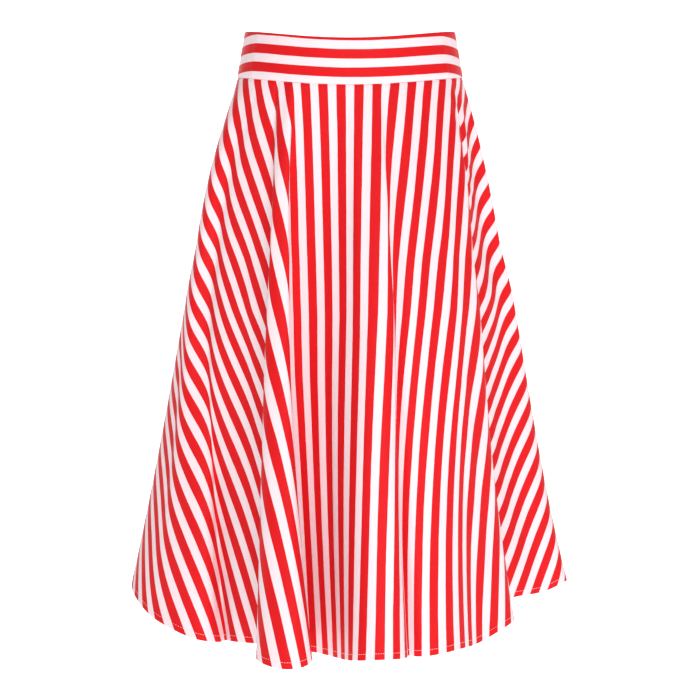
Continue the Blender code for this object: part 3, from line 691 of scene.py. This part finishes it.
def cotton_thread():
    """Twisted white sewing thread."""
    made, shader, start = new_finish("sewing_thread", Sheen_Weight=0.2, Specular_IOR_Level=0.3)
    place = start.node("ShaderNodeTexCoord", {}, output=3)
    twist = start.node("ShaderNodeTexNoise", {}, {"Vector": place, "Scale": 2500.0})
    pale = twist.step(0.3, 0.7).mixed((0.74, 0.71, 0.72, 1.0), (0.88, 0.86, 0.87, 1.0))
    bump = start.node("ShaderNodeBump", {}, {"Strength": 0.4, "Distance": 0.00005, "Height": twist})
    wire(shader, Base_Color=pale, Roughness=twist * 0.2 + 0.5, Normal=bump)
    return made


thread = cotton_thread()


def hem_stitches(name, first, last):
    """The line of stitching round one panel's hem, on both faces."""
    share = 1.0 - HEM_STITCH_FROM_EDGE / CLOTH_LENGTH
    radius = FLAT_WAIST_RADIUS + share * CLOTH_LENGTH
    count = int(math.radians(last - first) * radius / HEM_STITCH_PITCH)
    step = (last - first) / count
    angles = first + step * (np.arange(count) + 0.5)
    shares = np.full(count, share)
    middle, out = cloth_at(shares, angles)
    near = FINE_STEP / 2.0
    ahead = cloth_at(shares, angles + near)[0] - cloth_at(shares, angles - near)[0]
    ways = ahead / np.linalg.norm(ahead, axis=1, keepdims=True)
    front = middle + out * (CLOTH_THICK / 2.0 + HEM_EXTRA_OUTSIDE)
    behind = middle - out * (CLOTH_THICK / 2.0 + HEM_EXTRA_INSIDE)
    both = [np.concatenate(pair) for pair in ((front, behind), (ways, ways), (out, out))]
    return stitches(name, HEM_STITCH_LENGTH, HEM_STITCH_RADIUS, *both)


hems = {
    "skirt_front": hem_stitches("hem_stitches_front", -SEAM_ANGLE, SEAM_ANGLE),
    "skirt_back_left": hem_stitches("hem_stitches_back_left", SEAM_ANGLE, half_turn),
    "skirt_back_right": hem_stitches("hem_stitches_back_right", half_turn, FULL_TURN - SEAM_ANGLE),
}
for hem in hems.values():
    hem.data.materials.append(thread)
    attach(hem, "skirt")


# ---- Waistband front and backs ----
# A contoured band of the same cotton, doubled over a stiffening and folded along its top edge. It
# is cut with the stripes running round, in three pieces that meet at the sides and the back.

BAND_TOP_HALF_WIDTH = 120.5
BAND_TOP_HALF_DEPTH = 92.0
BAND_FRONT_HEIGHT = 51.2
BAND_SIDE_HEIGHT = 52.2


def band_points(shares, angles):
    """The middle of the waistband: a row per share of its height, a column per flat angle."""
    low = ellipse(angles, WAIST_HALF_WIDTH, WAIST_HALF_DEPTH)
    high = ellipse(angles, BAND_TOP_HALF_WIDTH, BAND_TOP_HALF_DEPTH)
    facing = np.maximum(np.cos(np.radians(2.0 * angles)), 0.0)
    rise = BAND_SIDE_HEIGHT - (BAND_SIDE_HEIGHT - BAND_FRONT_HEIGHT) * facing ** 2
    rows = []
    for share in shares:
        plan = low * (1.0 - share) + high * share
        rows.append(np.stack([plan[:, 0], -plan[:, 1], seam_height(angles) + rise * share], axis=1))
    return np.array(rows)


# The rows run from the fold at the top down to the seam, as shares of the band's height.
BAND_THICK = 2.2
BAND_ROUND_START = 1.0 - BAND_THICK / 2.0 / BAND_FRONT_HEIGHT
BAND_ROUND_ROWS = 5
BAND_EDGE_THIN = 0.2
BAND_ROWS = 18
BAND_LOWEST_ROW = 0.06
BAND_SEAM_ROWS = (0.03, 0.012, SEAM_GAP / 2.0 / BAND_FRONT_HEIGHT)
BAND_SEAM_TUCK = 0.6
BAND_FRONT_COLUMNS = 240
BAND_BACK_COLUMNS = 120

# How the cloth lies in the band: where the stripes start above the seam, and how they slant.
BAND_STRIPE_START = -3.0
BAND_OFF_GRAIN = 0.008
BAND_KINK_ANGLE = 31.5
BAND_SLANT = 0.15
BAND_SLANT_ROUNDING = 9.0

# Where the stiffened band bends a little more sharply, as flat angles.
BAND_BEND_COLUMNS = ("angle", "half_width", "height")
BAND_BENDS = (
    (-30.8, 7.0, 0.5), (-14.0, 16.0, -0.35), (9.0, 18.0, 0.3), (30.4, 7.0, 0.5),
    (52.0, 10.0, -0.4), (71.0, 15.0, 0.35), (108.0, 15.0, 0.35), (129.0, 10.0, -0.4),
)


def band_slant(arc):
    """How much higher on its flat piece the band's cloth lies, this far round from its middle."""
    past = np.abs(arc) - math.radians(BAND_KINK_ANGLE) * FLAT_WAIST_RADIUS
    bend = BAND_SLANT * (past + np.sqrt(past ** 2 + BAND_SLANT_ROUNDING ** 2)) / 2.0
    return bend + BAND_OFF_GRAIN * arc


def bend_height(angles):
    """How far the band's bends move it outwards at each flat angle."""
    height = np.zeros(len(angles))
    for row in BAND_BENDS:
        bend = dict(zip(BAND_BEND_COLUMNS, row))
        gap = np.radians(angles - bend["angle"]) * FLAT_WAIST_RADIUS / bend["half_width"]
        height += bend["height"] * np.maximum(1.0 - gap ** 2, 0.0) ** 2
    return height


def band_piece(name, first, last, grain_angle, columns):
    """One piece of the waistband, between its two seams."""
    rounded = np.linspace(1.0, 0.0, BAND_ROUND_ROWS, endpoint=False) ** 0.5
    shares = np.concatenate([
        BAND_ROUND_START + (1.0 - BAND_ROUND_START) * rounded,
        np.linspace(BAND_ROUND_START, BAND_LOWEST_ROW, BAND_ROWS), BAND_SEAM_ROWS,
    ])
    inset = math.degrees(SEAM_GAP / 2.0 / FLAT_WAIST_RADIUS)
    angles = np.linspace(first + inset, last - inset, columns + 1)
    whole = band_points(shares, fine_angles)
    level, around = np.meshgrid(np.linspace(0.0, 1.0, len(shares)), angles, indexing="ij")
    middle, out = sampled(whole, level, around), sampled(outward(whole), level, around)

    up = (shares * BAND_FRONT_HEIGHT)[:, None]
    to_side = np.radians(np.minimum(angles - first, last - angles)) * FLAT_WAIST_RADIUS
    tuck = np.minimum(seam_tuck(to_side) + BAND_SEAM_TUCK * seam_tuck(up), TUCK_DEPTH)
    middle = middle + out * (bend_height(angles) - tuck)[..., None]
    rounding = np.clip((shares - BAND_ROUND_START) / (1.0 - BAND_ROUND_START), 0.0, 1.0)
    thin = np.sqrt(np.maximum(1.0 - rounding ** 2, BAND_EDGE_THIN ** 2))[:, None, None]
    half = BAND_THICK / 2.0 * thin
    arc = np.radians(around - grain_angle) * FLAT_WAIST_RADIUS
    rise = up + BAND_STRIPE_START + band_slant(arc)
    return shell(name, middle + out * half, middle - out * half, np.stack([rise, arc], axis=-1))


band_pieces = {
    "waistband_front": band_piece(
        "cloth_band_front", -SEAM_ANGLE, SEAM_ANGLE, 0.0, BAND_FRONT_COLUMNS,
    ),
    "waistband_back_left": band_piece(
        "cloth_band_back_left", SEAM_ANGLE, half_turn, half_turn, BAND_BACK_COLUMNS,
    ),
    "waistband_back_right": band_piece(
        "cloth_band_back_right", half_turn, FULL_TURN - SEAM_ANGLE, half_turn, BAND_BACK_COLUMNS,
    ),
}
for node, piece in band_pieces.items():
    piece.data.materials.append(cotton)
    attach(piece, "skirt")
    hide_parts(node)


# ---- Zip ----
# A fine coil zip behind the centre back seam, sewn to a woven tape. The metal slider sits at the
# top of the closed zip, and its tab hangs from the slider's bridge on a hinge.

TAPE_BELOW_SEAM = 165.0
COIL_PITCH = 1.5
COIL_LENGTH = 3.6
COIL_RADIUS = 0.45
COIL_INSIDE = 3.0
COIL_TOP_SHARE = 0.9


def coil_teeth():
    """The closed coil: small loops of nylon across the tape, on its inner face."""
    band_count = int(BAND_FRONT_HEIGHT * COIL_TOP_SHARE / COIL_PITCH)
    skirt_count = int(TAPE_BELOW_SEAM / COIL_PITCH)
    band_shares = np.linspace(COIL_TOP_SHARE, 0.0, band_count, endpoint=False)
    grid = band_points(band_shares, fine_angles)
    column = round((half_turn + SEAM_ANGLE) / FINE_STEP)
    on_band, out_band = grid[:, column], outward(grid)[:, column]
    shares = np.linspace(0.0, TAPE_BELOW_SEAM / CLOTH_LENGTH, skirt_count)
    on_skirt = sampled(fine_cloth, shares, np.full(skirt_count, half_turn))
    out_skirt = sampled(fine_out, shares, np.full(skirt_count, half_turn))
    outs = np.concatenate([out_band, out_skirt])
    centres = np.concatenate([on_band, on_skirt]) - outs * COIL_INSIDE
    ways = np.tile([1.0, 0.0, 0.0], (len(centres), 1))
    return stitches("zip_coil", COIL_LENGTH, COIL_RADIUS, centres, ways, outs)


coil = coil_teeth()


def woven_tape():
    """Herringbone polyester tape."""
    made, shader, start = new_finish("zip_tape_weave", Sheen_Weight=0.1)
    place = start.node("ShaderNodeTexCoord", {}, output=3)
    across = start.node("ShaderNodeSeparateXYZ", {}, {0: place})
    up = start.node("ShaderNodeSeparateXYZ", {}, {0: place}, output=2)
    ribs = (abs(across * 700.0) + up * 5200.0).wave()
    # The ribs are darker in their hollows, where the bump dips: painted shade.
    pale = ribs.step(-1.0, 1.0).mixed((0.70, 0.67, 0.68, 1.0), (0.84, 0.82, 0.83, 1.0))
    bump = start.node("ShaderNodeBump", {}, {"Strength": 0.4, "Distance": 0.0001, "Height": ribs})
    wire(shader, Base_Color=pale, Roughness=ribs * 0.05 + 0.7, Normal=bump)
    return made


def moulded_nylon():
    """Pale nylon, slightly glossy."""
    made, shader, start = new_finish("coil_nylon", Specular_IOR_Level=0.5)
    place = start.node("ShaderNodeTexCoord", {}, output=3)
    cloud = start.node("ShaderNodeTexNoise", {}, {"Vector": place, "Scale": 900.0})
    pale = cloud.step(0.3, 0.7).mixed((0.80, 0.77, 0.78, 1.0), (0.88, 0.86, 0.87, 1.0))
    wire(shader, Base_Color=pale, Roughness=cloud * 0.15 + 0.3)
    return made


def brushed_metal():
    """Nickel-plated zinc with fine polishing lines."""
    made, shader, start = new_finish("slider_nickel", Metallic=1.0)
    place = start.node("ShaderNodeTexCoord", {}, output=3)
    long = start.node(
        "ShaderNodeVectorMath", {"operation": "MULTIPLY"}, {0: place, 1: (12.0, 12.0, 1.0)},
    )
    lines = start.node("ShaderNodeTexNoise", {}, {"Vector": long, "Scale": 700.0, "Detail": 3.0})
    grey = lines.step(0.3, 0.7).mixed((0.55, 0.55, 0.57, 1.0), (0.74, 0.74, 0.76, 1.0))
    bump = start.node("ShaderNodeBump", {}, {"Strength": 0.2, "Distance": 0.00005, "Height": lines})
    wire(shader, Base_Color=grey, Roughness=lines * 0.2 + 0.18, Normal=bump)
    return made


coil.data.materials.append(moulded_nylon())
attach(coil, "skirt")
nickel = brushed_metal()
for node, finish in (
    ("zip_tape", woven_tape()), ("zip_slider", nickel), ("zip_pull", nickel),
):
    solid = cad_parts[node]
    if not solid.material_slots:
        solid.data.materials.append(finish)
    for place in solid.material_slots:
        place.material = finish


# ---- Floor, light and camera ----
# A pale floor that sweeps up behind, well below the hem. Soft light comes from the front, with a
# key from the wearer's left, and less from behind. The camera stands 1.85 m away, looking down.

FLOOR_LEVEL = -1.15
FLOOR_HALF_WIDTH = 20.0
SWEEP_PROFILE = (
    (-20.0, 0.0), (2.2, 0.0), (2.9, 0.08), (3.4, 0.35), (3.7, 0.9), (3.8, 1.8), (3.8, 4.0),
)


def floor_sweep():
    """The floor and the backdrop as one smooth sheet."""
    points = []
    for depth, height in SWEEP_PROFILE:
        for side in (-1.0, 1.0):
            points.append((side * FLOOR_HALF_WIDTH, depth, FLOOR_LEVEL + height))
    faces = [(2 * i, 2 * i + 1, 2 * i + 3, 2 * i + 2) for i in range(len(SWEEP_PROFILE) - 1)]
    mesh = bpy.data.meshes.new("floor")
    mesh.from_pydata(points, [], faces)
    mesh.shade_smooth()
    made = bpy.data.objects.new("floor", mesh)
    bpy.context.scene.collection.objects.link(made)
    paper, shader, start = new_finish(
        "pale_paper", Specular_IOR_Level=0.1, Emission_Color=(1.0, 1.0, 1.0, 1.0),
        Emission_Strength=0.68,
    )
    place = start.node("ShaderNodeTexCoord", {}, output=3)
    grain = start.node("ShaderNodeTexNoise", {}, {"Vector": place, "Scale": 3.0, "Detail": 4.0})
    pale = grain.step(0.3, 0.7).mixed((0.93, 0.93, 0.93, 1.0), (0.95, 0.95, 0.95, 1.0))
    wire(shader, Base_Color=pale, Roughness=grain * 0.1 + 0.85)
    made.data.materials.append(paper)
    return made


floor_sweep()

world = bpy.data.worlds.new("studio")
world.use_nodes = True
SKY_LIGHT = 0.25
sky = Thread(world.node_tree)
seen = sky.node("ShaderNodeLightPath", {}, {})
strength = seen * (1.0 - SKY_LIGHT) + SKY_LIGHT
backdrop = world.node_tree.nodes["Background"]
backdrop.inputs["Color"].default_value = (1.0, 1.0, 1.0, 1.0)
sky.tree.links.new(strength.socket, backdrop.inputs["Strength"])
bpy.context.scene.world = world

LIGHT_TARGET = Vector((0.0, 0.0, -0.25))
LIGHT_COLUMNS = ("name", "place", "size", "power")
LIGHTS = (
    ("key", (1.3, -2.3, 0.4), 1.6, 12.0),
    ("front light", (0.2, -3.2, -0.1), 2.0, 61.0),
    ("back light", (-0.8, 2.5, 0.6), 1.4, 22.0),
    ("back fill", (1.0, 2.4, 0.1), 1.4, 9.0),
)
for row in LIGHTS:
    given = dict(zip(LIGHT_COLUMNS, row))
    light = bpy.data.lights.new(given["name"], "AREA")
    light.shape = "SQUARE"
    light.size = given["size"]
    light.energy = given["power"]
    lamp = bpy.data.objects.new(given["name"], light)
    lamp.location = given["place"]
    facing = LIGHT_TARGET - lamp.location
    lamp.rotation_euler = facing.to_track_quat("-Z", "Y").to_euler()
    bpy.context.scene.collection.objects.link(lamp)

CAMERA_PLACE = (0.0, -1.85, -0.05)
CAMERA_TILT = 81.95
LENS_LENGTH = 80.74
lens = bpy.data.cameras.new("camera")
lens.sensor_width = 36.0
lens.lens = LENS_LENGTH
camera = bpy.data.objects.new("camera", lens)
camera.location = CAMERA_PLACE
camera.rotation_euler = (math.radians(CAMERA_TILT), 0.0, 0.0)
bpy.context.scene.collection.objects.link(camera)
bpy.context.scene.camera = camera
bpy.context.scene.view_settings.view_transform = "Standard"
